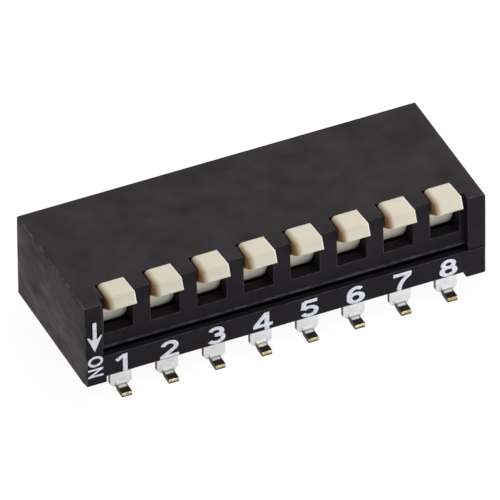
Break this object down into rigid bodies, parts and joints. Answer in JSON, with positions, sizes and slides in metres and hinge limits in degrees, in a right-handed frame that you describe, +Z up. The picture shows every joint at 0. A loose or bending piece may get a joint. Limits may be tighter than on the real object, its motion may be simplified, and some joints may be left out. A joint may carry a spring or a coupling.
{
  "type": "dip switch",
  "caption": "Surface-mount piano DIP switch: rocking keys in front windows of a black moulded housing, wiping contacts inside, gull-wing solder feet along both long sides.",
  "frame": {"origin": "centre of the footprint, on the plane that the solder feet stand on", "axes": "+X along the row from the first switch to the last, +Y from the key side to the rear, +Z up away from the circuit board"},
  "size_m": [0.0218, 0.0092, 0.006],
  "materials": {
    "housing": "moulded heat-proof black plastic, fine matt grain",
    "key": "moulded cream plastic, soft satin",
    "contact": "gold-flashed spring copper alloy",
    "terminal": "bright tin over a copper alloy, bare brass-coloured cut ends",
    "ink": "pale pad-printed ink"
  },
  "bodies": {
    "housing": {"cover": "housing", "base": "housing", "front_terminal_1": "terminal", "front_terminal_2": "terminal", "front_terminal_3": "terminal", "front_terminal_4": "terminal", "front_terminal_5": "terminal", "front_terminal_6": "terminal", "front_terminal_7": "terminal", "front_terminal_8": "terminal", "rear_terminal_1": "terminal", "rear_terminal_2": "terminal", "rear_terminal_3": "terminal", "rear_terminal_4": "terminal", "rear_terminal_5": "terminal", "rear_terminal_6": "terminal", "rear_terminal_7": "terminal", "rear_terminal_8": "terminal"},
    "key_1": {"rocker_1": "key", "contact_1": "contact"},
    "key_2": {"rocker_2": "key", "contact_2": "contact"},
    "key_3": {"rocker_3": "key", "contact_3": "contact"},
    "key_4": {"rocker_4": "key", "contact_4": "contact"},
    "key_5": {"rocker_5": "key", "contact_5": "contact"},
    "key_6": {"rocker_6": "key", "contact_6": "contact"},
    "key_7": {"rocker_7": "key", "contact_7": "contact"},
    "key_8": {"rocker_8": "key", "contact_8": "contact"}
  },
  "joints": [
    {"name": "key_1_tilt", "type": "hinge", "parent": "housing", "child": "key_1", "pos_m": [-0.00889, -0.0005, 0.00455], "axis": [1, 0, 0], "range_deg": [0, 15]},
    {"name": "key_2_tilt", "type": "hinge", "parent": "housing", "child": "key_2", "pos_m": [-0.00635, -0.0005, 0.00455], "axis": [1, 0, 0], "range_deg": [0, 15]},
    {"name": "key_3_tilt", "type": "hinge", "parent": "housing", "child": "key_3", "pos_m": [-0.00381, -0.0005, 0.00455], "axis": [1, 0, 0], "range_deg": [0, 15]},
    {"name": "key_4_tilt", "type": "hinge", "parent": "housing", "child": "key_4", "pos_m": [-0.00127, -0.0005, 0.00455], "axis": [1, 0, 0], "range_deg": [0, 15]},
    {"name": "key_5_tilt", "type": "hinge", "parent": "housing", "child": "key_5", "pos_m": [0.00127, -0.0005, 0.00455], "axis": [1, 0, 0], "range_deg": [0, 15]},
    {"name": "key_6_tilt", "type": "hinge", "parent": "housing", "child": "key_6", "pos_m": [0.00381, -0.0005, 0.00455], "axis": [1, 0, 0], "range_deg": [0, 15]},
    {"name": "key_7_tilt", "type": "hinge", "parent": "housing", "child": "key_7", "pos_m": [0.00635, -0.0005, 0.00455], "axis": [1, 0, 0], "range_deg": [0, 15]},
    {"name": "key_8_tilt", "type": "hinge", "parent": "housing", "child": "key_8", "pos_m": [0.00889, -0.0005, 0.00455], "axis": [1, 0, 0], "range_deg": [0, 15]}
  ]
}
